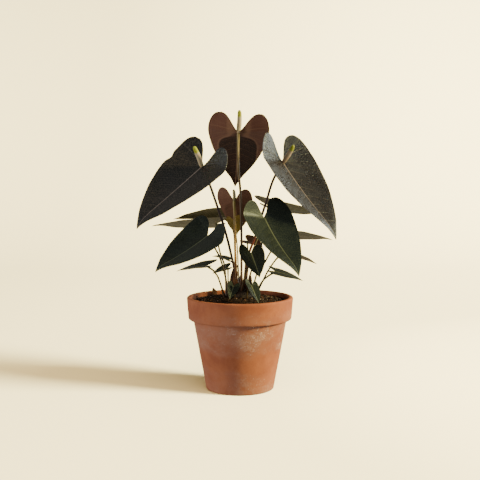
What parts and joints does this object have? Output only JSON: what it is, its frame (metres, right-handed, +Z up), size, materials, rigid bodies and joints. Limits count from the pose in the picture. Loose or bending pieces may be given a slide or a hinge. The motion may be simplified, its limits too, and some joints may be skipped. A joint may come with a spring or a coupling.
{
  "type": "potted anthurium",
  "caption": "Dark-flowered anthurium in a round clay pot: heart-shaped spathes and leaves on thin stalks rising from soil.",
  "frame": {"origin": "bottom centre of the bounding box, on the surface that the pot stands on; the pot's axis passes within a millimetre of it", "axes": "+Z up along the pot's axis, +X to the viewer's right, +Y away from the viewer"},
  "size_m": [0.2674, 0.2124, 0.3917],
  "materials": {
    "terracotta": "matte",
    "potting_mix": "matte",
    "crown_tissue": "matte",
    "sheath": "matte",
    "spathe": "satin",
    "spadix": "matte",
    "flower_stalk": "satin",
    "leaf": "satin",
    "leaf_stalk": "satin"
  },
  "bodies": {
    "root": {"pot": "terracotta", "soil": "potting_mix", "crown": "crown_tissue", "sheath_left": "sheath", "sheath_right": "sheath", "sheath_back": "sheath", "spathe_left": "spathe", "spadix_left": "spadix", "flower_stalk_left": "flower_stalk", "spathe_top": "spathe", "spadix_top": "spadix", "flower_stalk_top": "flower_stalk", "spathe_right": "spathe", "spadix_right": "spadix", "flower_stalk_right": "flower_stalk", "spathe_mid": "spathe", "spadix_mid": "spadix", "flower_stalk_mid": "flower_stalk", "leaf_blade_front_right": "leaf", "leaf_stalk_front_right": "leaf_stalk", "leaf_blade_front_left": "leaf", "leaf_stalk_front_left": "leaf_stalk", "leaf_blade_front_small": "leaf", "leaf_stalk_front_small": "leaf_stalk", "leaf_blade_back_left_upper": "leaf", "leaf_stalk_back_left_upper": "leaf_stalk", "leaf_blade_back_left_lower": "leaf", "leaf_stalk_back_left_lower": "leaf_stalk", "leaf_blade_back_right_upper": "leaf", "leaf_stalk_back_right_upper": "leaf_stalk", "leaf_blade_back_right_middle": "leaf", "leaf_stalk_back_right_middle": "leaf_stalk", "leaf_blade_back_right_lower": "leaf", "leaf_stalk_back_right_lower": "leaf_stalk", "leaf_blade_low_left": "leaf", "leaf_stalk_low_left": "leaf_stalk", "leaf_blade_low_right": "leaf", "leaf_stalk_low_right": "leaf_stalk", "leaf_blade_inner_left_upper": "leaf", "leaf_stalk_inner_left_upper": "leaf_stalk", "leaf_blade_inner_left_lower": "leaf", "leaf_stalk_inner_left_lower": "leaf_stalk", "leaf_blade_basal_left": "leaf", "leaf_stalk_basal_left": "leaf_stalk", "leaf_blade_basal_right": "leaf", "leaf_stalk_basal_right": "leaf_stalk", "leaf_blade_back_centre": "leaf", "leaf_stalk_back_centre": "leaf_stalk", "leaf_blade_back_centre_right": "leaf", "leaf_stalk_back_centre_right": "leaf_stalk"}
  },
  "joints": []
}
